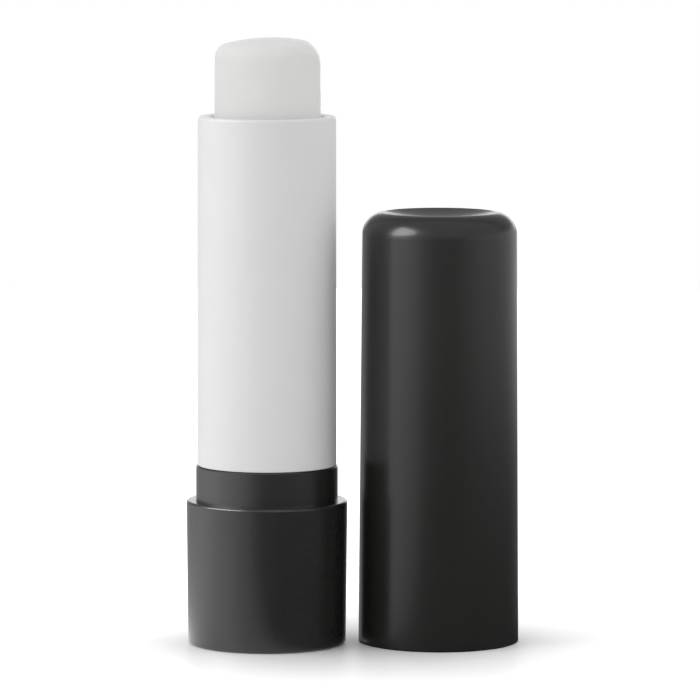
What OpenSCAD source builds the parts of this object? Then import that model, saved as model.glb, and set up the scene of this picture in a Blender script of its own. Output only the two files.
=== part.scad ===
// Lip balm stick: a twist-up balm in a white sleeve on a black base, its cap standing beside it.
// Millimetres, +Z up. The origin is on the stick's axis, on the table.

/* [Case] */
// Outside diameter where the mouth of the cap meets the shoulder of the base
seam_d = 19; // [18.8:0.1:20]
// Play on each side between pieces that turn or slide in one another
running_gap = 0.05; // [0.03:0.01:0.08]
// Play along the axis between pieces that turn on one another
end_gap = 0.08; // [0.05:0.01:0.15]

/* [Base shell] */
// Height of the base from the table to its shoulder
base_h = 17.05; // [14:0.05:20]
// Outside diameter at the foot, a little less than at the shoulder
base_foot_d = 18.66; // [18.4:0.01:18.8]
// Rounding of the outer edge of the shoulder
shoulder_edge_r = 0.25; // [0.15:0.05:0.5]
// Rounding of the outer edge of the foot
foot_edge_r = 0.25; // [0.1:0.05:0.4]
// Width of the ring that the base stands on
foot_ring_w = 1.7; // [1.4:0.1:2.4]
// Depth of the recess inside that ring
foot_recess = 0.5; // [0.3:0.1:0.8]
// Thickness of the floor
base_floor = 1.3; // [1:0.1:1.8]
// Height of the seat that carries the collar and the slotted sleeve
seat_z = 6; // [5:0.1:8]
// Number of webs under that seat
webs = 8; // [6:1:10]
// Thickness of a web
web_t = 0.9; // [0.7:0.1:1.2]
// Inside radius of the hub that the webs meet at
hub_r = 2; // [1.5:0.1:3]
// Wall of that hub
hub_wall = 0.9; // [0.7:0.1:1.2]

/* [Collar] */
// Outside diameter of the collar, which the cap grips
collar_d = 16.75; // [16.7:0.05:17]
// Height of the collar above the shoulder of the base
collar_show = 4.15; // [3.5:0.05:6]
// How far the collar's plug is stepped in, so that the collar rests on the shoulder
plug_step = 0.3; // [0.2:0.05:0.35]
// Chamfer of the collar's upper edge
collar_edge = 0.12; // [0.05:0.01:0.15]
// Number of keys that lock the slotted sleeve in the collar
keys = 4; // [2:1:6]
// Width of a key
key_w = 1.6; // [1:0.1:2.4]
// Height of a key
key_h = 2.5; // [1.5:0.1:4]
// How far a key stands out of the slotted sleeve's foot
key_out = 0.3; // [0.2:0.05:0.35]

/* [White sleeve] */
// Outside diameter of the sleeve at its foot
sleeve_d = 16.4; // [16.3:0.05:16.6]
// Outside diameter of the sleeve at its rim, a little less so that it leaves its mould
sleeve_rim_d = 16.25; // [16.2:0.01:16.4]
// Length of the sleeve above the collar
sleeve_h = 41.2; // [38:0.1:46]
// Thickness of the lip that turns in over the slotted sleeve
lip_h = 0.8; // [0.6:0.05:1]
// Play on each side between the lip and the cup that rises through it
lip_gap = 0.15; // [0.1:0.01:0.2]
// Rounding of the rim's outer edge
rim_outer_r = 0.3; // [0.2:0.05:0.6]
// Rounding of the rim's inner edge
rim_inner_r = 0.25; // [0.1:0.05:0.3]
// How far the bead at the foot reaches in to hold the sleeve down
bead_in = 0.2; // [0.1:0.01:0.25]
// Height of that bead
bead_h = 0.7; // [0.5:0.05:0.8]
// Height of the bead above the sleeve's foot
bead_rise = 0.3; // [0.2:0.05:0.35]

/* [Spiral grooves] */
// Rise of the balm in one full turn
lead = 12; // [10:0.5:15]
// Depth of the spiral grooves in the sleeve's wall
groove_depth = 0.35; // [0.3:0.01:0.4]
// Width of a groove along the axis
groove_w = 1.85; // [1.8:0.01:2]
// Number of grooves, one for each pin
starts = 2; // [1:1:2]

/* [Slotted sleeve] */
// Wall of the slotted sleeve
slotted_wall = 0.55; // [0.5:0.01:0.6]

/* [Cup] */
// Wall of the cup
cup_wall = 0.45; // [0.4:0.01:0.5]
// Height of the cup
cup_h = 10.5; // [9.5:0.1:12]
// Thickness of the cup's floor
cup_floor = 0.8; // [0.6:0.1:1.2]
// Diameter of the vent in that floor
vent_d = 3; // [2:0.1:4]
// Diameter of the pins that ride in the slots and grooves
pin_d = 1.5; // [1.4:0.01:1.6]
// Height of the pins above the underside of the cup
pin_rise = 5.7; // [5.4:0.1:6.5]
// Play between a pin's tip and the bottom of its groove
pin_tip_gap = 0.12; // [0.1:0.01:0.15]
// How far the cup's rim stays below the sleeve's rim when the balm is fully out
cup_below_rim = 0.2; // [0.1:0.1:1]

/* [Balm] */
// Diameter of the balm
balm_d = 12.6; // [12.5:0.02:12.7]
// Length of the balm, from the cup's floor to its tip
balm_l = 43.4; // [41:0.1:43.5]
// How far the tip stands above the sleeve's rim, as shown
balm_out = 9.3; // [0:0.1:20]
// How far the tip lies below the rim when the balm is wound right down
tip_below_rim = 0.3; // [0.1:0.1:0.5]
// Radius of the tip's shallow crown
crown_r = 24; // [18:1:32]
// Rounding between the crown and the side
tip_edge_r = 1.6; // [0.8:0.1:2]
// Slope of the crown where the shoulder that is softened by use begins, in degrees
soft_slope = 5.7; // [4:0.1:7]
// How far that shoulder begins from the balm's axis
soft_from = 3.2; // [2:0.1:3.5]

/* [Cap] */
// Height of the cap
cap_h = 51.05; // [50:0.05:58]
// Outside diameter where the rounding of the top begins
cap_top_d = 18.26; // [18.2:0.01:18.8]
// Rounding of the top edge
cap_edge_r = 2.6; // [2:0.1:3.2]
// Rounding of the outer edge of the mouth
mouth_edge_r = 0.15; // [0.1:0.05:0.3]
// Depth of the dish in the top
dish_depth = 0.8; // [0.4:0.05:1.2]
// Thickness of the top at the middle of the dish
cap_roof = 1.2; // [1:0.1:1.6]
// Wall of the cap near its top
cap_wall = 0.85; // [0.7:0.01:0.9]
// Rounding of the inside corner under the top
cap_inner_r = 1.5; // [1:0.1:2]
// Play on each side between the cap's mouth and the collar
seat_gap = 0.03; // [0.01:0.01:0.04]
// Lead-in chamfer inside the mouth
mouth_chamfer = 0.3; // [0.2:0.05:0.5]
// Place of the standing cap to the right of the stick's axis
cap_x = 20.35; // [19.5:0.05:30]
// Place of the standing cap behind the stick's axis
cap_y = 1.7; // [-5:0.1:10]

/* [Hidden] */
$fn = 96;
// A cut runs past the face it opens by this much
past = 1;
// A web runs into the shell's wall by this much
web_root = 0.3;

seam_r = seam_d / 2;
foot_r = base_foot_d / 2;
collar_r = collar_d / 2;
plug_r = collar_r - plug_step;
sleeve_r = sleeve_d / 2;
sleeve_rim_r = sleeve_rim_d / 2;
cap_top_r = cap_top_d / 2;
balm_r = balm_d / 2;
pin_r = pin_d / 2;

// The nested radii, from the balm outwards
cup_r = balm_r + cup_wall;
slotted_in_r = cup_r + running_gap;
slotted_out_r = slotted_in_r + slotted_wall;
sleeve_in_r = slotted_out_r + running_gap;
groove_r = sleeve_in_r + groove_depth;
pin_tip_r = groove_r - pin_tip_gap;
lip_r = cup_r + lip_gap;

// The heights, from the table up
collar_top_z = base_h + collar_show;
sleeve_foot_z = collar_top_z + end_gap;
rim_z = sleeve_foot_z + sleeve_h;
slotted_top_z = rim_z - lip_h - end_gap;
bead_z = sleeve_foot_z + bead_rise;
tip_z = rim_z + balm_out;
balm_foot_z = tip_z - balm_l;
cup_z = balm_foot_z - cup_floor;
pin_z = cup_z + pin_rise;

// Travel of the cup and balm from the shown position
travel_down = balm_out + tip_below_rim;
travel_up = rim_z - cup_below_rim - cup_h - cup_z;

// The spiral grooves: angle per ring, and how far they run on past the pins' last places
ring_step = 11.25;
groove_run_on = 11.25;
groove_from = -travel_down / lead * 360 - groove_run_on;
groove_to = travel_up / lead * 360 + groove_run_on;

// The tip's arcs: the edge rounding touches both the side and the crown
crown_z = tip_z - crown_r;
edge_x = balm_r - tip_edge_r;
edge_z = crown_z + sqrt(pow(crown_r - tip_edge_r, 2) - pow(edge_x, 2));
edge_touch_x = edge_x * crown_r / (crown_r - tip_edge_r);

// The softened shoulder's arc runs down to a little outside the balm's side
soft_past = 0.05;
soft_r = (balm_r + soft_past - soft_from) / (1 - sin(soft_slope));

// The dish's arc passes through the end of the cap's top rounding
dish_rim_r = cap_top_r - cap_edge_r;
dish_r = (pow(dish_rim_r, 2) + pow(dish_depth, 2)) / (2 * dish_depth);

// The inside of the cap
cap_seat_r = collar_r + seat_gap;
cap_bore_r = cap_top_r - cap_wall;
cap_ceiling_z = cap_h - dish_depth - cap_roof;

// A ring about the Z axis from one radius to another
module ring(inner_r, outer_r, from_z, to_z) {
    difference() {
        translate([0, 0, from_z])
            cylinder(r = outer_r, h = to_z - from_z);
        translate([0, 0, from_z - past])
            cylinder(r = inner_r, h = to_z - from_z + 2 * past);
    }
}

// A half-section with straight walls from the axis, whose outer corners are round
module turned_outline(low_r, low_z, low_edge, high_r, high_z, high_edge) {
    polygon([
        [0, low_z],
        [low_r - low_edge, low_z],
        [low_r, low_z + low_edge],
        [high_r, high_z - high_edge],
        [high_r - high_edge, high_z],
        [0, high_z]
    ]);
    translate([low_r - low_edge, low_z + low_edge])
        circle(r = low_edge);
    translate([high_r - high_edge, high_z - high_edge])
        circle(r = high_edge);
}

// The outer quarter of a round edge in a half-section, sunk a little into the wall
module rounding(centre_r, centre_z, edge) {
    sink = edge / 10;
    intersection() {
        translate([centre_r, centre_z])
            circle(r = edge);
        translate([centre_r - sink, centre_z - sink])
            square(2 * edge);
    }
}

// A bar that runs radially outwards from the axis, as seen in plan, at a height
module radial_bar(from_r, to_r, width, from_z, to_z) {
    translate([from_r, -width / 2, from_z])
        cube([to_r - from_r, width, to_z - from_z]);
}

// One spiral groove's cutter, swept ring by ring along a right-handed helix
module spiral_cutter(start_angle) {
    count = ceil((groove_to - groove_from) / ring_step);
    inner_r = sleeve_in_r - groove_depth;
    half_w = groove_w / 2;
    section = [[inner_r, -half_w], [groove_r, -half_w], [groove_r, half_w], [inner_r, half_w]];
    angles = [for (i = [0:count]) groove_from + i * (groove_to - groove_from) / count];
    points = [
        for (a = angles)
            for (p = section)
                [
                    p.x * cos(start_angle + a),
                    p.x * sin(start_angle + a),
                    pin_z + lead * a / 360 + p.y
                ]
    ];
    sides = [
        for (i = [0:count - 1])
            for (k = [0:3])
                let (a = 4 * i + k, b = 4 * i + (k + 1) % 4)
                    each [[a, b, b + 4], [a, b + 4, a + 4]]
    ];
    last = 4 * count;
    ends = [[3, 2, 1, 0], [last, last + 1, last + 2, last + 3]];
    polyhedron(points = points, faces = concat(sides, ends));
}

// The black shell of the base, with a hub and webs inside that carry the collar
module base_shell() {
    floor_z = foot_recess + base_floor;
    rooted_z = floor_z - base_floor / 2;
    color([0.1, 0.1, 0.1])
        union() {
            difference() {
                rotate_extrude()
                    turned_outline(foot_r, 0, foot_edge_r, seam_r, base_h, shoulder_edge_r);
                translate([0, 0, floor_z])
                    cylinder(r = plug_r, h = base_h);
                translate([0, 0, -past])
                    cylinder(r = foot_r - foot_ring_w, h = foot_recess + past);
            }
            ring(hub_r, hub_r + hub_wall, rooted_z, seat_z);
            for (i = [0:webs - 1])
                rotate([0, 0, i * 360 / webs])
                    radial_bar(hub_r + hub_wall / 2, plug_r + web_root, web_t, rooted_z, seat_z);
        }
}

// The black collar, pressed into the shell, which the cap grips and the white sleeve turns on
module collar() {
    notch_r = slotted_out_r + key_out + running_gap;
    color([0.1, 0.1, 0.1])
        difference() {
            rotate_extrude()
                polygon([
                    [slotted_out_r, seat_z],
                    [plug_r, seat_z],
                    [plug_r, base_h],
                    [collar_r, base_h],
                    [collar_r, collar_top_z - collar_edge],
                    [collar_r - collar_edge, collar_top_z],
                    [slotted_out_r, collar_top_z]
                ]);
            for (i = [0:keys - 1])
                rotate([0, 0, (i + 0.5) * 360 / keys])
                    radial_bar(0, notch_r, key_w + 2 * running_gap, seat_z - past, seat_z + key_h + end_gap);
        }
}

// The white slotted sleeve, locked in the collar, whose slots keep the cup from turning
module slotted_sleeve() {
    low_z = pin_z - travel_down;
    high_z = pin_z + travel_up;
    slot_r = pin_r + running_gap;
    color([0.9, 0.9, 0.88])
        difference() {
            union() {
                cylinder(r = slotted_out_r, h = slotted_top_z);
                for (i = [0:keys - 1])
                    rotate([0, 0, (i + 0.5) * 360 / keys])
                        radial_bar(slotted_in_r, slotted_out_r + key_out, key_w, seat_z, seat_z + key_h);
            }
            translate([0, 0, -past])
                cylinder(r = slotted_in_r, h = slotted_top_z + 2 * past);
            translate([0, 0, -past])
                cylinder(r = seam_r, h = seat_z + past);
            ring(slotted_out_r - bead_in, sleeve_r, bead_z - end_gap, bead_z + bead_h + end_gap);
            for (i = [0:starts - 1])
                rotate([0, 0, i * 360 / starts]) {
                    radial_bar(0, sleeve_r, 2 * slot_r, low_z, high_z);
                    for (z = [low_z, high_z])
                        translate([0, 0, z])
                            rotate([0, 90, 0])
                                cylinder(r = slot_r, h = sleeve_r);
                }
        }
}

// The white sleeve that shows, whose spiral grooves lift the cup by its pins
module white_sleeve() {
    bead_r = sleeve_in_r - bead_in;
    color([0.95, 0.95, 0.94])
        difference() {
            rotate_extrude() {
                polygon([
                    [sleeve_in_r, sleeve_foot_z],
                    [sleeve_r, sleeve_foot_z],
                    [sleeve_rim_r, rim_z - rim_outer_r],
                    [sleeve_rim_r - rim_outer_r, rim_z],
                    [lip_r + rim_inner_r, rim_z],
                    [lip_r, rim_z - rim_inner_r],
                    [lip_r, rim_z - lip_h],
                    [sleeve_in_r, rim_z - lip_h],
                    [sleeve_in_r, bead_z + bead_h],
                    [bead_r, bead_z + bead_h - bead_in],
                    [bead_r, bead_z + bead_in],
                    [sleeve_in_r, bead_z]
                ]);
                rounding(sleeve_rim_r - rim_outer_r, rim_z - rim_outer_r, rim_outer_r);
                translate([lip_r + rim_inner_r, rim_z - rim_inner_r])
                    circle(r = rim_inner_r);
            }
            for (i = [0:starts - 1])
                spiral_cutter(i * 360 / starts);
        }
}

// The cup that holds the foot of the balm, with a pin for each slot and groove
module cup() {
    color([0.9, 0.9, 0.88])
        difference() {
            union() {
                translate([0, 0, cup_z])
                    cylinder(r = cup_r, h = cup_h);
                for (i = [0:starts - 1])
                    rotate([0, 0, i * 360 / starts])
                        translate([balm_r + cup_wall / 2, 0, pin_z])
                            rotate([0, 90, 0])
                                cylinder(r = pin_r, h = pin_tip_r - balm_r - cup_wall / 2);
            }
            translate([0, 0, balm_foot_z])
                cylinder(r = balm_r, h = cup_h);
            translate([0, 0, cup_z - past])
                cylinder(d = vent_d, h = cup_floor + 2 * past);
        }
}

// The stick of balm, with its crown softened on one side
module balm() {
    soft_z = tip_z - soft_from * tan(soft_slope);
    centre_x = soft_from - soft_r * sin(soft_slope);
    centre_z = soft_z - soft_r * cos(soft_slope);
    reach = 2 * balm_r;
    sink = soft_r / 200;
    color([0.93, 0.92, 0.9])
        intersection() {
            rotate_extrude() {
                translate([0, balm_foot_z])
                    square([balm_r, edge_z - balm_foot_z]);
                translate([0, edge_z - tip_edge_r])
                    square([edge_x, tip_edge_r]);
                intersection() {
                    translate([edge_x, edge_z])
                        circle(r = tip_edge_r);
                    translate([edge_x - tip_edge_r, edge_z])
                        square([2 * tip_edge_r, tip_edge_r]);
                }
                intersection() {
                    translate([0, crown_z])
                        circle(r = crown_r);
                    translate([0, edge_z - tip_edge_r])
                        square([edge_touch_x, tip_edge_r + crown_r]);
                }
            }
            rotate([90, 0, 0])
                translate([0, 0, -reach])
                    linear_extrude(height = 2 * reach) {
                        polygon([
                            [-reach, balm_foot_z - past],
                            [reach, balm_foot_z - past],
                            [reach, centre_z],
                            [centre_x, centre_z],
                            [soft_from, soft_z - sink],
                            [-reach, soft_z - sink + (reach + soft_from) * tan(soft_slope)]
                        ]);
                        translate([centre_x, centre_z])
                            circle(r = soft_r);
                    }
        }
}

// The cap, which stands on its mouth beside the stick
module cap() {
    color([0.1, 0.1, 0.1])
        translate([cap_x, cap_y, 0])
            rotate_extrude()
                difference() {
                    turned_outline(seam_r, 0, mouth_edge_r, cap_top_r, cap_h, cap_edge_r);
                    translate([0, cap_h - dish_depth + dish_r])
                        circle(r = dish_r);
                    polygon([
                        [0, -past],
                        [cap_seat_r + mouth_chamfer, -past],
                        [cap_seat_r + mouth_chamfer, 0],
                        [cap_seat_r, mouth_chamfer],
                        [cap_seat_r, collar_show],
                        [cap_bore_r, cap_ceiling_z - cap_inner_r],
                        [cap_bore_r - cap_inner_r, cap_ceiling_z],
                        [0, cap_ceiling_z]
                    ]);
                    translate([cap_bore_r - cap_inner_r, cap_ceiling_z - cap_inner_r])
                        circle(r = cap_inner_r);
                }
}

base_shell();
collar();
slotted_sleeve();
white_sleeve();
cup();
balm();
cap();
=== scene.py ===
"""A twist-up lip balm stick and its cap, dressed and lit as on a white studio table."""
import math

import bmesh
import bpy
import numpy as np
from bpy.props import FloatProperty, FloatVectorProperty, IntProperty, PointerProperty
from mathutils import Matrix, Vector, noise


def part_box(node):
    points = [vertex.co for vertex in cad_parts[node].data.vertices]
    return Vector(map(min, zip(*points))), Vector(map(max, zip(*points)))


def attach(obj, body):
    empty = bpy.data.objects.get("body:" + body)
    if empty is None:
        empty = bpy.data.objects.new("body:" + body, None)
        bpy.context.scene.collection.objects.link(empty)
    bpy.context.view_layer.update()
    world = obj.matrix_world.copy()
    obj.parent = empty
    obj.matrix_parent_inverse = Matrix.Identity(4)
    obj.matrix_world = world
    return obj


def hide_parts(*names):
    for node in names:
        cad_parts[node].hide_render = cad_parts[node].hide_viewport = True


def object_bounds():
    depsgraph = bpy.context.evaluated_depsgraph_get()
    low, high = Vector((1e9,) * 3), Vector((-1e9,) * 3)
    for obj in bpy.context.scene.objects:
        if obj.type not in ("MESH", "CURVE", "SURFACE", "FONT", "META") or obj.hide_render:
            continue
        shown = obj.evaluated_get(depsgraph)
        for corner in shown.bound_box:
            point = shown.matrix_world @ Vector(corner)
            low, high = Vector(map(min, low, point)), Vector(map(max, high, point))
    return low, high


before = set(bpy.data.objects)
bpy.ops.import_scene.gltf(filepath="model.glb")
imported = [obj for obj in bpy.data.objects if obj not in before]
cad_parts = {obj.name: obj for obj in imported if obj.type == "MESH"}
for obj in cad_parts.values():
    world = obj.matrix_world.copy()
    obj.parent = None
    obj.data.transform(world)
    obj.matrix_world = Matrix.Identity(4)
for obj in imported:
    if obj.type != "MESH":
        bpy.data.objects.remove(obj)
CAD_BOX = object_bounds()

bl_info = {
    "name": "Lip Balm Stick",
    "version": (1, 0, 0),
    "blender": (4, 5, 0),
    "location": "View3D > Sidebar > Lip Balm",
    "description": "Finishes a twist-up lip balm stick and sets up a small white studio round it",
    "category": "Object",
}

MM = 0.001
# How bright the room is at the table's height, round the object: bearing in degrees from the
# camera's side, less than nothing to the left, and level
ROOM_LEVELS = (
    (-180, 0.42), (-145, 0.36), (-85, 1.7), (-50, 1.45), (-5, 0.45), (15, 0.38), (70, 1.05),
    (125, 0.8), (180, 0.65),
)
# Painted light and shade on the table close to the object, set the same way: in the object's gloss the
# table glows with these levels, darker where its shade would fall
PAINTED_TABLE_LEVELS = (
    (-180, 0.2), (-145, 0.45), (-90, 1.3), (-62, 1.0), (-40, 0.65), (-10, 0.07), (90, 0.03),
    (180, 0.2),
)
# The level that a ramp's white stands for
LEVEL_TOP = 2.0
WHITE = (1, 1, 1, 1)
BLACK = (0, 0, 0, 1)
PLASTIC_IOR = 1.49
WAX_IOR = 1.44
# How far light spreads inside the wax, and the share of that for red, green and blue
WAX_SPREAD = 1.2 * MM
WAX_SPREAD_SHARES = (1.0, 0.95, 0.9)
# Colour of the wax's painted glow, an emission that stands in for light coming through the wax
PAINTED_GLOW_COLOUR = (1.0, 0.998, 0.985, 1.0)
PORE_HEIGHT = 0.006 * MM
BALM_LOW, BALM_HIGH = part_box("balm")
# How far below the balm's tip the point lies that the rings over its top are traced from
HEART_DEPTH = 6 * MM
# The rings over the top, by their rise above level in degrees: first, last and how many
TOP_RINGS = ((88.5, 52, 26), (50.8, 20, 56), (17, 0, 6))
# How many rings lie down its side
WALL_RINGS = 60
# How often the stretch that holds the balm's surface is halved to find it
HALVINGS = 36
# Waves per millimetre across and along the balm, and those of the small waves on them
ACROSS_WAVES = 0.32
ALONG_WAVES = 0.14
SMALL_WAVES = 1.1
WAVE_SHIFT = Vector((3, 7, 1))
# About how far to the right of the stick's axis the middle of the stick and its cap lies
PAIR_MIDDLE = 0.01
# Between these distances from there the table's close levels give way to the room's
TABLE_CLOSE, TABLE_FAR = 0.17, 0.48
SENSOR_WIDTH_MM = 36


# Sizes and colours that a user would change


class BlackPlasticLook(bpy.types.PropertyGroup):
    """Finish of the black base shell, collar and cap"""

    colour: FloatVectorProperty(
        name="Colour", description="Colour of the black plastic", subtype="COLOR",
        size=3, min=0, max=1, default=(0.0158, 0.0158, 0.0148),
    )
    base_roughness: FloatProperty(
        name="Base roughness", description="Mean roughness of the base shell",
        min=0, max=1, default=0.27,
    )
    collar_roughness: FloatProperty(
        name="Collar roughness", description="Mean roughness of the collar, which the cap rubs",
        min=0, max=1, default=0.3,
    )
    cap_roughness: FloatProperty(
        name="Cap roughness", description="Mean roughness of the cap",
        min=0, max=1, default=0.3,
    )
    base_gloss: FloatProperty(
        name="Base gloss", description="How strongly the base shell mirrors; 0.5 is plain plastic",
        min=0, max=1, default=0.67,
    )
    collar_gloss: FloatProperty(
        name="Collar gloss", description="How strongly the collar mirrors; 0.5 is plain plastic",
        min=0, max=1, default=0.66,
    )
    cap_gloss: FloatProperty(
        name="Cap gloss", description="How strongly the cap mirrors; 0.5 is plain plastic",
        min=0, max=1, default=0.36,
    )
    skin_weight: FloatProperty(
        name="Skin", description="Share of the thin smooth skin that the mould leaves",
        min=0, max=1, default=0.25,
    )
    skin_roughness: FloatProperty(
        name="Skin roughness", description="Roughness of that skin",
        min=0, max=1, default=0.16,
    )
    roughness_play: FloatProperty(
        name="Roughness play", description="How far the roughness strays from its mean",
        min=0, max=0.3, default=0.04,
    )
    grain_height: FloatProperty(
        name="Grain height", description="Height of the fine moulding grain",
        subtype="DISTANCE", unit="LENGTH", min=0, max=0.0001, default=0.000002, precision=6,
    )


class WhitePlasticLook(bpy.types.PropertyGroup):
    """Finish of the white sleeve and of the white pieces inside it"""

    colour: FloatVectorProperty(
        name="Colour", description="Colour of the white plastic", subtype="COLOR",
        size=3, min=0, max=1, default=(0.8, 0.8, 0.797),
    )
    roughness: FloatProperty(
        name="Roughness", description="Mean roughness of the moulded surface",
        min=0, max=1, default=0.42,
    )
    inner_roughness: FloatProperty(
        name="Inner roughness", description="Mean roughness of the pieces inside the sleeve",
        min=0, max=1, default=0.6,
    )
    grain_height: FloatProperty(
        name="Grain height", description="Height of the fine moulding grain",
        subtype="DISTANCE", unit="LENGTH", min=0, max=0.0001, default=0.000004, precision=6,
    )


class BalmLook(bpy.types.PropertyGroup):
    """Shape and finish of the stick of balm"""

    colour: FloatVectorProperty(
        name="Colour", description="Colour of the wax", subtype="COLOR",
        size=3, min=0, max=1, default=(0.63, 0.629, 0.622),
    )
    # Painted glow: an even emission from the wax that stands in for light coming through it from
    # behind
    painted_glow: FloatProperty(
        name="Glow", description="Light that comes through the milky wax from behind",
        min=0, max=1, default=0.198,
    )
    roughness: FloatProperty(
        name="Roughness", description="Mean roughness of the wax",
        min=0, max=1, default=0.58,
    )
    crown_radius: FloatProperty(
        name="Crown radius", description="Radius of the tip's shallow crown",
        subtype="DISTANCE", unit="LENGTH", min=0.01, max=0.05, default=0.024,
    )
    crown_lean: FloatProperty(
        name="Crown lean", description="How far the crown's highest point lies to the right",
        subtype="DISTANCE", unit="LENGTH", min=0, max=0.001, default=0.00075,
    )
    crown_drop: FloatProperty(
        name="Crown drop", description="How far the crown stays below the top of the plain solid",
        subtype="DISTANCE", unit="LENGTH", min=0, max=0.0005, default=0.00008, precision=5,
    )
    edge_radius: FloatProperty(
        name="Edge radius", description="Rounding between the crown and the side",
        subtype="DISTANCE", unit="LENGTH", min=0.0005, max=0.002, default=0.0012,
    )
    draft: FloatProperty(
        name="Draft", description="How much smaller the stick's radius is at its tip than at its foot",
        subtype="DISTANCE", unit="LENGTH", min=0, max=0.0002, default=0.00007, precision=5,
    )
    lean: FloatProperty(
        name="Lean", description="How far the tip lies to the right of the axis",
        subtype="DISTANCE", unit="LENGTH", min=0, max=0.0002, default=0.0001, precision=5,
    )
    # Painted shade: the wax's colour is made darker where its surface turns away from the view
    painted_edge_shade: FloatProperty(
        name="Edge shade", description="How light the wax is where it turns out of sight",
        min=0, max=1, default=0.66,
    )
    soft_radius: FloatProperty(
        name="Used shoulder radius", description="Radius of the shoulder softened by use",
        subtype="DISTANCE", unit="LENGTH", min=0.003, max=0.006, default=0.0032,
    )
    soft_slope: FloatProperty(
        name="Used shoulder slope", description="Slope of the crown where that shoulder begins",
        subtype="ANGLE", unit="ROTATION", min=0.05, max=0.15, default=math.radians(6.4),
    )
    soft_from: FloatProperty(
        name="Used shoulder start", description="How far that shoulder begins from the axis",
        subtype="DISTANCE", unit="LENGTH", min=0.002, max=0.004, default=0.00344,
    )
    wave_height: FloatProperty(
        name="Wave height", description="Height of the slow waves left by cooling and use",
        subtype="DISTANCE", unit="LENGTH", min=0, max=0.0001, default=0.000018, precision=6,
    )
    around: IntProperty(
        name="Points around", description="Points round the stick", min=48, max=512, default=192,
    )


class StudioSetup(bpy.types.PropertyGroup):
    """Camera, lamps and table"""

    camera_place: FloatVectorProperty(
        name="Camera place", description="Where the camera stands", subtype="TRANSLATION",
        unit="LENGTH", size=3, default=(0.01051, -0.65252, 0.10337),
    )
    camera_pitch: FloatProperty(
        name="Camera pitch", description="How far the camera looks down",
        subtype="ANGLE", unit="ROTATION", default=math.radians(5.995),
    )
    camera_yaw: FloatProperty(
        name="Camera yaw", description="How far the camera looks to the right",
        subtype="ANGLE", unit="ROTATION", default=math.radians(-0.063),
    )
    camera_roll: FloatProperty(
        name="Camera roll", description="How far the picture's content is turned to the left",
        subtype="ANGLE", unit="ROTATION", default=math.radians(-0.085),
    )
    lens: FloatProperty(
        name="Lens", description="Focal length in millimetres on a 36 mm sensor",
        min=50, max=1000, default=286.0,
    )
    table_radius: FloatProperty(
        name="Table radius", description="Radius of the pale round table top",
        subtype="DISTANCE", unit="LENGTH", min=0.1, max=5, default=0.45,
    )
    table_colour: FloatVectorProperty(
        name="Table colour", description="Colour of the table top", subtype="COLOR",
        size=3, min=0, max=1, default=(0.8, 0.8, 0.8),
    )
    table_lift: FloatProperty(
        name="Table lift", description="How much more light the table shows to the camera",
        min=0, max=1, default=0.42,
    )
    table_sheen: FloatProperty(
        name="Table sheen", description="How strongly the table mirrors the room to the camera",
        min=0, max=1, default=0.25,
    )
    sheen_roughness: FloatProperty(
        name="Sheen roughness", description="Roughness of that sheen",
        min=0, max=1, default=0.4,
    )
    # Reach and depth of the painted contact shadow, which ambient occlusion darkens into the table's
    # colour
    contact_reach: FloatProperty(
        name="Contact reach", description="How far round the object the soft contact shadow reaches",
        subtype="DISTANCE", unit="LENGTH", min=0.001, max=0.2, default=0.04,
    )
    contact_light: FloatProperty(
        name="Contact light", description="Least share of light that the contact shadow leaves",
        min=0, max=1, default=0.7,
    )
    shine_power: FloatProperty(
        name="Shine power", description="Power of the softbox that shows as a shine, in watts",
        min=0, max=200, default=10.0,
    )
    fill_power: FloatProperty(
        name="Fill power", description="Power of the wide lamp that shades the white pieces, in watts",
        min=0, max=200, default=4.0,
    )
    sky: FloatProperty(
        name="Sky", description="Brightness of the room overhead, as seen in the gloss",
        min=0, max=2, default=0.75,
    )
    sky_behind: FloatProperty(
        name="Sky behind", description="Brightness of the sky behind the object, as seen in the gloss",
        min=0, max=2, default=0.3,
    )
    backdrop: FloatProperty(
        name="Backdrop", description="Brightness of the low backdrop behind the object, in the gloss",
        min=0, max=4, default=2.3,
    )
    soft_front: FloatProperty(
        name="Soft light in front", description="Even light from the camera's side",
        min=0, max=2, default=0.66,
    )
    soft_behind: FloatProperty(
        name="Soft light behind", description="Even light from behind the object",
        min=0, max=2, default=1.22,
    )


# Shader trees, written as sums


class Signal:
    """One output of a shader node, which can stand in a sum"""

    def __init__(self, shader, socket):
        self.shader = shader
        self.socket = socket

    def maths(self, operation, *terms):
        """A Math node on these terms"""
        return self.shader.maths(operation, *terms)

    def __add__(self, other):
        return self.maths("ADD", self, other)

    def __sub__(self, other):
        return self.maths("SUBTRACT", self, other)

    def __rsub__(self, other):
        return self.maths("SUBTRACT", other, self)

    def __mul__(self, other):
        return self.maths("MULTIPLY", self, other)

    def __truediv__(self, other):
        return self.maths("DIVIDE", self, other)

    def __rtruediv__(self, other):
        return self.maths("DIVIDE", other, self)

    def clip(self):
        """The same value, held between 0 and 1"""
        return self.maths("MINIMUM", self.maths("MAXIMUM", self, 0.0), 1.0)

    def contrast(self, factor):
        """The same value, this many times as far from a half, held between 0 and 1"""
        return ((self - 0.5) * factor + 0.5).clip()

    def rising(self, start, width):
        """From 0 to 1 as the value rises from a start over a width"""
        return ((self - start) / width).clip()

    def grey(self):
        """A grey colour as a value"""
        return self.shader.add("ShaderNodeSeparateColor", None, {"Color": self}, output="Red")

    __radd__ = __add__
    __rmul__ = __mul__


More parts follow.
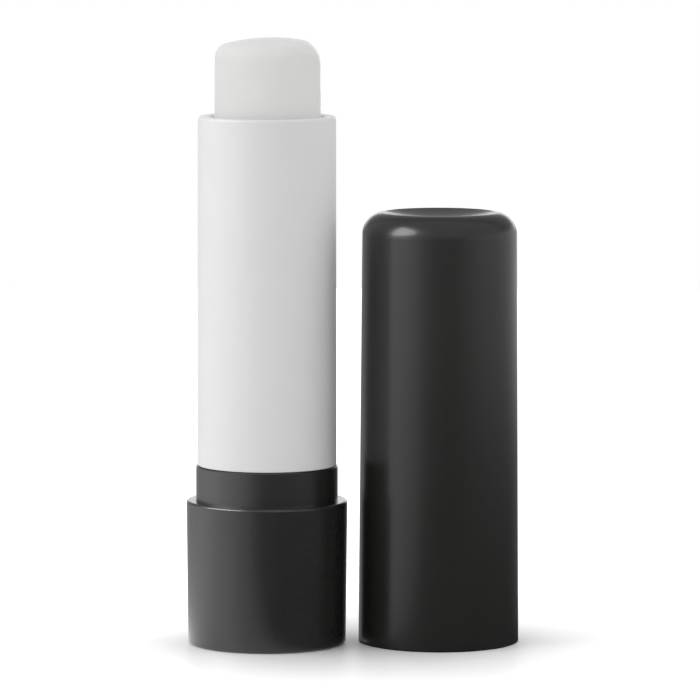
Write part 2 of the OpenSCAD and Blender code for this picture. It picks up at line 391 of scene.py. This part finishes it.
class Shader:
    """The node tree of a material or of the world, built through one method"""

    def __init__(self, owner):
        owner.use_nodes = True
        self.tree = owner.node_tree
        self.tree.nodes.clear()

    def add(self, kind, settings=None, sockets=None, output=0):
        """Adds a node: its settings first, then the values or links of its sockets"""
        node = self.tree.nodes.new(kind)
        for name, value in (settings or {}).items():
            if name == "stops":
                self.set_stops(node.color_ramp, value)
            else:
                setattr(node, name, value)
        for key, value in (sockets or {}).items():
            if isinstance(value, Signal):
                self.tree.links.new(value.socket, node.inputs[key])
            else:
                node.inputs[key].default_value = value
        return Signal(self, node.outputs[output]) if len(node.outputs) else None

    @staticmethod
    def set_stops(ramp, stops):
        """Gives a colour ramp these (place, grey level) stops, with eased steps between them"""
        ramp.interpolation = "EASE"
        while len(ramp.elements) > 1:
            ramp.elements.remove(ramp.elements[-1])
        for i, (place, level) in enumerate(stops):
            stop = ramp.elements[0] if i == 0 else ramp.elements.new(place)
            stop.position = place
            stop.color = (level, level, level, 1)

    def place_mm(self, stretch=(1, 1, 1)):
        """The point on the piece in millimetres, stretched along the axes"""
        point = self.add("ShaderNodeTexCoord", output="Object")
        factors = tuple(s / MM for s in stretch)
        return self.add(
            "ShaderNodeVectorMath", {"operation": "MULTIPLY"}, {0: point, 1: factors}
        )

    def maths(self, operation, *terms):
        """A Math node on these terms"""
        return self.add("ShaderNodeMath", {"operation": operation}, dict(enumerate(terms)))

    def part(self, vector, axis):
        """One part of a vector, by the letter of its axis"""
        return self.add("ShaderNodeSeparateXYZ", None, {"Vector": vector}, output=axis)

    def noise(self, place, scale, detail=3.0, roughness=0.5):
        """Noise from 0 to 1 at a place, with so many waves per millimetre"""
        return self.add(
            "ShaderNodeTexNoise", {"noise_dimensions": "3D"},
            {"Vector": place, "Scale": scale, "Detail": detail, "Roughness": roughness},
        )

    def blend_colour(self, share, first, second):
        """A colour between two colours"""
        return self.add(
            "ShaderNodeMix", {"data_type": "RGBA"},
            {0: share, 6: first, 7: second}, output=2,
        )

    def bump(self, height, distance):
        """The surface's normal under a relief, where a height of 1 stands for the distance"""
        return self.add(
            "ShaderNodeBump", None, {"Strength": 1.0, "Distance": distance, "Height": height}
        )

    def surface(self, sockets):
        """A Principled BSDF with these sockets, as the material's surface"""
        skin = self.add("ShaderNodeBsdfPrincipled", None, sockets)
        self.add("ShaderNodeOutputMaterial", None, {"Surface": skin})


def rgba(colour, factor=1.0):
    """A property's colour as a socket's colour, made lighter or darker"""
    return (*(min(1.0, c * factor) for c in colour), 1.0)


def new_material(name):
    material = bpy.data.materials.new(name)
    return material, Shader(material)


def black_plastic(name, look, mean_roughness, gloss):
    """Moulded black plastic: soft gloss with a very fine grain, faint flow marks and rubbed places"""
    material, shader = new_material(name)
    place = shader.place_mm()
    flow = shader.noise(shader.place_mm((1, 1, 0.12)), scale=0.35, detail=2.0)
    cloud = shader.noise(place, scale=0.22, detail=4.0)
    fine = shader.noise(place, scale=5.0, detail=3.0)
    streaks = shader.place_mm((0.25, 0.25, 3.0))
    rub = shader.noise(streaks, scale=1.3, detail=5.0, roughness=0.65)
    rubbed = rub.rising(0.6, 0.2)
    roughness = mean_roughness + (cloud - 0.5) * 2 * look.roughness_play + rubbed * 0.05
    tone = flow.contrast(1.6)
    colour = shader.blend_colour(tone, rgba(look.colour, 0.88), rgba(look.colour, 1.14))
    bump = shader.bump(fine * 0.7 + flow * 2.0, look.grain_height)
    shader.surface({
        "Base Color": colour, "Roughness": roughness, "Normal": bump, "IOR": PLASTIC_IOR,
        "Specular IOR Level": gloss, "Coat Weight": look.skin_weight,
        "Coat Roughness": look.skin_roughness,
    })
    return material


def white_plastic(look):
    """Moulded white plastic: satin, with a faint grain and slow waves along the draw"""
    material, shader = new_material("white_plastic")
    place = shader.place_mm()
    draw = shader.noise(shader.place_mm((1, 1, 0.06)), scale=0.5, detail=2.0)
    cloud = shader.noise(place, scale=0.18, detail=3.0)
    fine = shader.noise(place, scale=4.0, detail=3.0)
    roughness = look.roughness + (cloud - 0.5) * 0.14 + (fine - 0.5) * 0.05
    tone = cloud.contrast(1.5)
    colour = shader.blend_colour(tone, rgba(look.colour, 0.985), rgba(look.colour, 1.012))
    bump = shader.bump(fine * 0.7 + draw * 2.5, look.grain_height)
    shader.surface({
        "Base Color": colour, "Roughness": roughness, "Normal": bump, "IOR": PLASTIC_IOR,
        "Specular IOR Level": 0.35,
    })
    return material


def inner_plastic(look):
    """Uncoloured moulded plastic of the hidden pieces: matte and a little uneven"""
    material, shader = new_material("inner_plastic")
    place = shader.place_mm()
    cloud = shader.noise(place, scale=0.3, detail=3.0)
    fine = shader.noise(place, scale=3.0, detail=4.0)
    roughness = look.inner_roughness + (cloud - 0.5) * 0.2
    colour = shader.blend_colour(cloud, rgba(look.colour, 0.93), rgba(look.colour))
    bump = shader.bump(fine, 2 * look.grain_height)
    shader.surface({
        "Base Color": colour, "Roughness": roughness, "Normal": bump, "IOR": PLASTIC_IOR,
    })
    return material


def balm_wax(look):
    """Wax: milky and soft, a little uneven in tone and roughness, with pores and faint pour lines; a
    painted glow stands in for light coming through it, and painted shade darkens it where it turns
    away
    """
    material, shader = new_material("balm_wax")
    place = shader.place_mm()
    pour = shader.noise(shader.place_mm((1, 1, 0.2)), scale=0.4, detail=3.0)
    cloud = shader.noise(place, scale=0.35, detail=4.0)
    pores = shader.noise(place, scale=2.5, detail=5.0, roughness=0.6)
    roughness = look.roughness + (cloud - 0.5) * 0.16 + (pores - 0.5) * 0.08
    tone = cloud.contrast(1.4)
    # Painted shade: the colour darkens towards the edges as the surface turns from view
    turned = shader.add("ShaderNodeLayerWeight", None, {"Blend": 0.5}, output="Facing")
    milky = shader.blend_colour(tone, rgba(look.colour, 0.975), rgba(look.colour, 1.015))
    colour = shader.blend_colour(turned, milky, rgba(look.colour, look.painted_edge_shade))
    bump = shader.bump(pores + pour * 3.0, PORE_HEIGHT)
    shader.surface({
        "Base Color": colour, "Roughness": roughness, "Normal": bump, "IOR": WAX_IOR,
        "Subsurface Weight": 1.0, "Subsurface Radius": WAX_SPREAD_SHARES,
        "Subsurface Scale": WAX_SPREAD, "Specular IOR Level": 0.08,
        # Painted glow: an even emission that stands in for light coming through the wax
        "Emission Color": PAINTED_GLOW_COLOUR, "Emission Strength": look.painted_glow,
    })
    return material


def dress(names, material):
    """Gives CAD nodes this material in every slot"""
    for name in names:
        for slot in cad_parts[name].material_slots:
            slot.material = material


# The stick of balm


def round_meet(first, second, edge):
    """Inside two faces at once, with a round edge where they meet"""
    outer = np.hypot(np.maximum(first + edge, 0), np.maximum(second + edge, 0))
    return np.minimum(-edge, np.maximum(first, second)) + outer


def soft_meet(first, second, reach):
    """Inside two faces at once, eased over a reach where they meet"""
    near = np.clip(reach - np.abs(first - second), 0, None) / reach
    return np.maximum(first, second) + near * near * reach / 4


def balm_distance(look, points, side_radius, tip_z):
    """How far points lie outside the balm's crown and side, less than nothing inside"""
    x, y, z = points[..., 0], points[..., 1], points[..., 2]
    from_axis = np.hypot(x, y)
    crown_z = tip_z - look.crown_radius
    crown = np.sqrt((x - look.crown_lean) ** 2 + y ** 2 + (z - crown_z) ** 2) - look.crown_radius
    body = round_meet(from_axis - side_radius, crown, look.edge_radius)
    slope = look.soft_slope
    soft_z = crown_z + math.sqrt(look.crown_radius ** 2 - (look.soft_from - look.crown_lean) ** 2)
    centre_x = look.soft_from - look.soft_radius * math.sin(slope)
    centre_z = soft_z - look.soft_radius * math.cos(slope)
    flat = (x - look.soft_from) * math.sin(slope) + (z - soft_z) * math.cos(slope)
    arc = np.hypot(x - centre_x, z - centre_z) - look.soft_radius
    past_arc = (x - centre_x) * math.cos(slope) > (z - centre_z) * math.sin(slope)
    worn = np.where(past_arc, arc, flat)
    worn = np.where(z < centre_z, x - centre_x - look.soft_radius, worn)
    crisp, eased = 0.15 * MM, 1.0 * MM
    off_middle = np.clip((np.abs(y) - 1.5 * MM) / (3.5 * MM), 0, 1)
    return soft_meet(body, worn, crisp + (eased - crisp) * off_middle)


def balm_rings(look):
    """Rings of points over the balm, from the middle of its crown down to its foot"""
    side_radius = (BALM_HIGH.x - BALM_LOW.x) / 2
    tip_z = BALM_HIGH.z - look.crown_drop
    heart = np.array([0, 0, tip_z - HEART_DEPTH])
    turn = np.linspace(0, 2 * math.pi, look.around, endpoint=False)
    rise = np.radians(np.concatenate([np.linspace(*stretch) for stretch in TOP_RINGS]))
    ray = np.stack([
        np.cos(rise)[:, None] * np.cos(turn),
        np.cos(rise)[:, None] * np.sin(turn),
        np.sin(rise)[:, None] * np.ones_like(turn),
    ], axis=-1)
    near, far = np.zeros(ray.shape[:2]), np.full(ray.shape[:2], 2 * HEART_DEPTH)
    for _ in range(HALVINGS):
        middle = (near + far) / 2
        outside = balm_distance(look, heart + ray * middle[..., None], side_radius, tip_z) > 0
        far = np.where(outside, middle, far)
        near = np.where(outside, near, middle)
    crown = heart + ray * near[..., None]
    foot_edge = 0.3 * MM
    below_heart = 0.7 * MM
    heights = np.concatenate([
        np.linspace(heart[2] - below_heart, BALM_LOW.z + foot_edge, WALL_RINGS), [BALM_LOW.z],
    ])
    widths = np.full(len(heights), side_radius)
    widths[-1] = side_radius - foot_edge
    wall = np.stack([
        widths[:, None] * np.cos(turn),
        widths[:, None] * np.sin(turn),
        heights[:, None] * np.ones_like(turn),
    ], axis=-1)
    rings = np.concatenate([crown, wall])
    share = (rings[..., 2:] - BALM_LOW.z) / (tip_z - BALM_LOW.z)
    rings[..., :2] *= 1 - look.draft / side_radius * share
    rings[..., :1] += look.lean * share
    return rings


def build_balm(look):
    """The balm as one closed mesh, with slow waves over its crown and side"""
    rings = balm_rings(look)
    heart_z = BALM_HIGH.z - HEART_DEPTH
    mesh = bmesh.new()
    rows = []
    for ring in rings:
        row = []
        for point in ring:
            p = Vector(point)
            q = p / MM
            stretched = Vector((q.x * ACROSS_WAVES, q.y * ACROSS_WAVES, q.z * ALONG_WAVES))
            wave = noise.noise(stretched + WAVE_SHIFT)
            small = noise.noise(q * SMALL_WAVES)
            depth = look.wave_height * (0.5 + 0.75 * wave + 0.25 * small)
            out = Vector((p.x, p.y, max(0.0, p.z - heart_z))).normalized()
            row.append(mesh.verts.new(p - out * depth))
        rows.append(row)
    tip = mesh.verts.new(sum((v.co for v in rows[0]), Vector()) / len(rows[0]))
    foot = mesh.verts.new((0, 0, BALM_LOW.z))
    count = len(rows[0])
    for i in range(count):
        j = (i + 1) % count
        mesh.faces.new((tip, rows[0][i], rows[0][j]))
        for upper, lower in zip(rows, rows[1:]):
            mesh.faces.new((upper[i], lower[i], lower[j], upper[j]))
        mesh.faces.new((foot, rows[-1][j], rows[-1][i]))
    bmesh.ops.recalc_face_normals(mesh, faces=mesh.faces)
    data = bpy.data.meshes.new("balm_stick")
    mesh.to_mesh(data)
    mesh.free()
    for face in data.polygons:
        face.use_smooth = True
    piece = bpy.data.objects.new("balm_stick", data)
    bpy.context.scene.collection.objects.link(piece)
    return piece


# The studio


def level_round(shader, across, away, levels):
    """Brightness in a direction round the object, from a list of bearings and levels"""
    angle = shader.maths("ARCTAN2", across, away * -1.0)
    stops = [((bearing + 180) / 360, level / LEVEL_TOP) for bearing, level in levels]
    ramp = shader.add(
        "ShaderNodeValToRGB", {"stops": stops}, {"Fac": angle / (2 * math.pi) + 0.5}
    )
    return ramp.grey() * LEVEL_TOP


def add_table(setup):
    """A pale round table top that shows as white, apart from its shadow, a painted contact shadow and
    a sheen; in the object's gloss it glows with painted light and shade
    """
    bpy.ops.mesh.primitive_circle_add(vertices=128, radius=setup.table_radius, fill_type="NGON")
    table = bpy.context.object
    table.name = "table_top"
    material, shader = new_material("table_white")
    seen = shader.add("ShaderNodeLightPath", output="Is Camera Ray")
    mirrored = shader.add("ShaderNodeLightPath", output="Is Glossy Ray")
    place = shader.add("ShaderNodeTexCoord", output="Object")
    across = shader.part(place, "X") - PAIR_MIDDLE
    away = shader.part(place, "Y")
    far = shader.maths("SQRT", across * across + away * away)
    painted_close_level = level_round(shader, across, away, PAINTED_TABLE_LEVELS)
    painted_far_level = level_round(shader, across, away, ROOM_LEVELS)
    reached = shader.add(
        "ShaderNodeMapRange", {"interpolation_type": "SMOOTHSTEP"},
        {"Value": far, "From Min": TABLE_CLOSE, "From Max": TABLE_FAR},
    )
    level = painted_close_level + reached * (painted_far_level - painted_close_level)
    plain = shader.add("ShaderNodeBsdfDiffuse", None, {"Color": rgba(setup.table_colour)})
    # Painted light and shade: when the gloss mirrors the table, it is an emission with these levels,
    # darker close to the object
    sheen = shader.add("ShaderNodeEmission", None, {"Color": WHITE, "Strength": level})
    # Painted contact shadow: ambient occlusion darkens the table's colours round the object's foot
    painted_shadow_factor = shader.add(
        "ShaderNodeAmbientOcclusion", {"samples": 8}, {"Distance": setup.contact_reach}, output="AO"
    )
    painted_shadow_factor = shader.maths("MAXIMUM", painted_shadow_factor, setup.contact_light)
    shown = shader.blend_colour(painted_shadow_factor, BLACK, rgba(setup.table_colour))
    lifted = shader.blend_colour(painted_shadow_factor, BLACK, rgba((setup.table_lift,) * 3))
    first = shader.add("ShaderNodeBsdfDiffuse", None, {"Color": shown})
    second = shader.add("ShaderNodeBsdfDiffuse", None, {"Color": lifted})
    both = shader.add("ShaderNodeAddShader", None, {0: first, 1: second})
    dull_mirror = shader.add(
        "ShaderNodeBsdfAnisotropic", None,
        {"Color": rgba((setup.table_sheen,) * 3), "Roughness": setup.sheen_roughness},
    )
    lit = shader.add("ShaderNodeAddShader", None, {0: both, 1: dull_mirror})
    unseen = shader.add("ShaderNodeMixShader", None, {0: mirrored, 1: plain, 2: sheen})
    skin = shader.add("ShaderNodeMixShader", None, {0: seen, 1: unseen, 2: lit})
    shader.add("ShaderNodeOutputMaterial", None, {"Surface": skin})
    table.data.materials.append(material)


def add_softbox(name, azimuth, elevation, distance, width, height, power, target):
    """A wide oval lamp that looks at the target, by its bearing from the camera's side"""
    lamp = bpy.data.lights.new(name, "AREA")
    lamp.shape = "ELLIPSE"
    lamp.size = width
    lamp.size_y = height
    lamp.energy = power
    box = bpy.data.objects.new(name, lamp)
    a, e = math.radians(azimuth), math.radians(elevation)
    away = Vector((math.sin(a) * math.cos(e), -math.cos(a) * math.cos(e), math.sin(e)))
    box.location = target + away * distance
    box.rotation_mode = "QUATERNION"
    box.rotation_quaternion = (-away).to_track_quat("-Z", "Y")
    box.visible_camera = False
    bpy.context.scene.collection.objects.link(box)
    return box


def light_room(setup):
    """The room: white to the camera, a sky over a low band to gloss, and even light to the rest"""
    world = bpy.data.worlds.new("studio_room")
    world.cycles.sampling_method = "NONE"
    bpy.context.scene.world = world
    shader = Shader(world)
    seen = shader.add("ShaderNodeLightPath", output="Is Camera Ray")
    mirrored = shader.add("ShaderNodeLightPath", output="Is Glossy Ray")
    way = shader.add("ShaderNodeTexCoord", output="Generated")
    across = shader.part(way, "X")
    away = shader.part(way, "Y")
    up = shader.part(way, "Z")
    behind = away.rising(0.1, 1 / 3)
    straight_behind = (away + across * 0.05).rising(0.9, 1 / 12)
    low = level_round(shader, across, away, ROOM_LEVELS)
    low = low + up.rising(0.0, 0.02) * straight_behind * (setup.backdrop - low)
    raised = up.rising(0.12, 0.12)
    sky = setup.sky + behind * (setup.sky_behind - setup.sky)
    gloss_level = low + raised * (sky - low)
    front_to_back = away.rising(-0.6, 1.2)
    soft_level = setup.soft_front + front_to_back * (setup.soft_behind - setup.soft_front)
    level = soft_level + mirrored * (gloss_level - soft_level)
    white = shader.add("ShaderNodeBackground", None, {"Color": WHITE, "Strength": 1.0})
    room = shader.add("ShaderNodeBackground", None, {"Color": WHITE, "Strength": level})
    mixed = shader.add("ShaderNodeMixShader", None, {0: seen, 1: room, 2: white})
    shader.add("ShaderNodeOutputWorld", None, {"Surface": mixed})


def place_camera(setup):
    """The camera where the photographer stood"""
    data = bpy.data.cameras.new("camera")
    data.sensor_width = SENSOR_WIDTH_MM
    data.lens = setup.lens
    data.clip_start = 0.01
    data.clip_end = 20
    camera = bpy.data.objects.new("camera", data)
    pitch, yaw, roll = setup.camera_pitch, setup.camera_yaw, setup.camera_roll
    ahead = Vector((
        math.sin(yaw) * math.cos(pitch), math.cos(yaw) * math.cos(pitch), -math.sin(pitch),
    ))
    right = Vector((math.cos(yaw), -math.sin(yaw), 0))
    up = right.cross(ahead)
    rolled_right = right * math.cos(roll) - up * math.sin(roll)
    rolled_up = right * math.sin(roll) + up * math.cos(roll)
    axes = Matrix((rolled_right, rolled_up, -ahead)).transposed().to_4x4()
    camera.matrix_world = Matrix.Translation(setup.camera_place) @ axes
    bpy.context.scene.collection.objects.link(camera)
    bpy.context.scene.camera = camera


# Operators


class LIPBALM_OT_black_pieces(bpy.types.Operator):
    """Finish the base shell, the collar and the cap in black plastic"""

    bl_idname = "lipbalm.black_pieces"
    bl_label = "Black Pieces"

    def execute(self, context):
        look = context.scene.lip_balm_black
        base = black_plastic("black_base", look, look.base_roughness, look.base_gloss)
        collar = black_plastic("black_collar", look, look.collar_roughness, look.collar_gloss)
        cap = black_plastic("black_cap", look, look.cap_roughness, look.cap_gloss)
        dress(("base_shell",), base)
        dress(("collar",), collar)
        dress(("cap",), cap)
        return {"FINISHED"}


class LIPBALM_OT_white_sleeve(bpy.types.Operator):
    """Finish the white sleeve"""

    bl_idname = "lipbalm.white_sleeve"
    bl_label = "White Sleeve"

    def execute(self, context):
        dress(("white_sleeve",), white_plastic(context.scene.lip_balm_white))
        return {"FINISHED"}


class LIPBALM_OT_inner_pieces(bpy.types.Operator):
    """Finish the slotted sleeve and the cup, which lie inside the white sleeve"""

    bl_idname = "lipbalm.inner_pieces"
    bl_label = "Inner Pieces"

    def execute(self, context):
        dress(("slotted_sleeve", "cup"), inner_plastic(context.scene.lip_balm_white))
        return {"FINISHED"}


class LIPBALM_OT_balm(bpy.types.Operator):
    """Build the stick of balm in place of its plain solid"""

    bl_idname = "lipbalm.balm"
    bl_label = "Balm"

    def execute(self, context):
        look = context.scene.lip_balm_wax
        piece = build_balm(look)
        piece.data.materials.append(balm_wax(look))
        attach(piece, "carrier")
        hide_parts("balm")
        return {"FINISHED"}


class LIPBALM_OT_studio(bpy.types.Operator):
    """Set up the table, the lamps, the room and the camera"""

    bl_idname = "lipbalm.studio"
    bl_label = "Studio"

    def execute(self, context):
        setup = context.scene.lip_balm_studio
        add_table(setup)
        middle = (CAD_BOX[0] + CAD_BOX[1]) / 2
        shine = add_softbox(
            "shine_softbox", azimuth=-72, elevation=30, distance=0.8, width=0.9, height=0.56,
            power=setup.shine_power, target=middle,
        )
        shine.visible_diffuse = False
        fill = add_softbox(
            "fill_softbox", azimuth=-75, elevation=25, distance=1.2, width=1.2, height=1.2,
            power=setup.fill_power, target=middle,
        )
        fill.visible_glossy = False
        light_room(setup)
        place_camera(setup)
        return {"FINISHED"}


class LIPBALM_PT_steps(bpy.types.Panel):
    """The steps that finish the stick, in the 3D view's sidebar"""

    bl_label = "Lip Balm Stick"
    bl_idname = "LIPBALM_PT_steps"
    bl_space_type = "VIEW_3D"
    bl_region_type = "UI"
    bl_category = "Lip Balm"

    def draw(self, context):
        for step in STEPS:
            self.layout.operator(step.bl_idname)
        for name in SETTINGS:
            group = getattr(context.scene, name)
            column = self.layout.column()
            for prop in group.bl_rna.properties:
                if prop.identifier not in {"rna_type", "name"}:
                    column.prop(group, prop.identifier)


STEPS = (
    LIPBALM_OT_black_pieces,
    LIPBALM_OT_white_sleeve,
    LIPBALM_OT_inner_pieces,
    LIPBALM_OT_balm,
    LIPBALM_OT_studio,
)
SETTINGS = {
    "lip_balm_black": BlackPlasticLook,
    "lip_balm_white": WhitePlasticLook,
    "lip_balm_wax": BalmLook,
    "lip_balm_studio": StudioSetup,
}


def register():
    for name, group in SETTINGS.items():
        bpy.utils.register_class(group)
        setattr(bpy.types.Scene, name, PointerProperty(type=group))
    for item in (*STEPS, LIPBALM_PT_steps):
        bpy.utils.register_class(item)


def unregister():
    for item in (LIPBALM_PT_steps, *reversed(STEPS)):
        bpy.utils.unregister_class(item)
    for name, group in reversed(SETTINGS.items()):
        delattr(bpy.types.Scene, name)
        bpy.utils.unregister_class(group)


def main():
    register()
    bpy.context.scene.view_settings.view_transform = "Standard"
    bpy.ops.lipbalm.black_pieces()
    bpy.ops.lipbalm.white_sleeve()
    bpy.ops.lipbalm.inner_pieces()
    bpy.ops.lipbalm.balm()
    bpy.ops.lipbalm.studio()


if __name__ == "__main__":
    main()
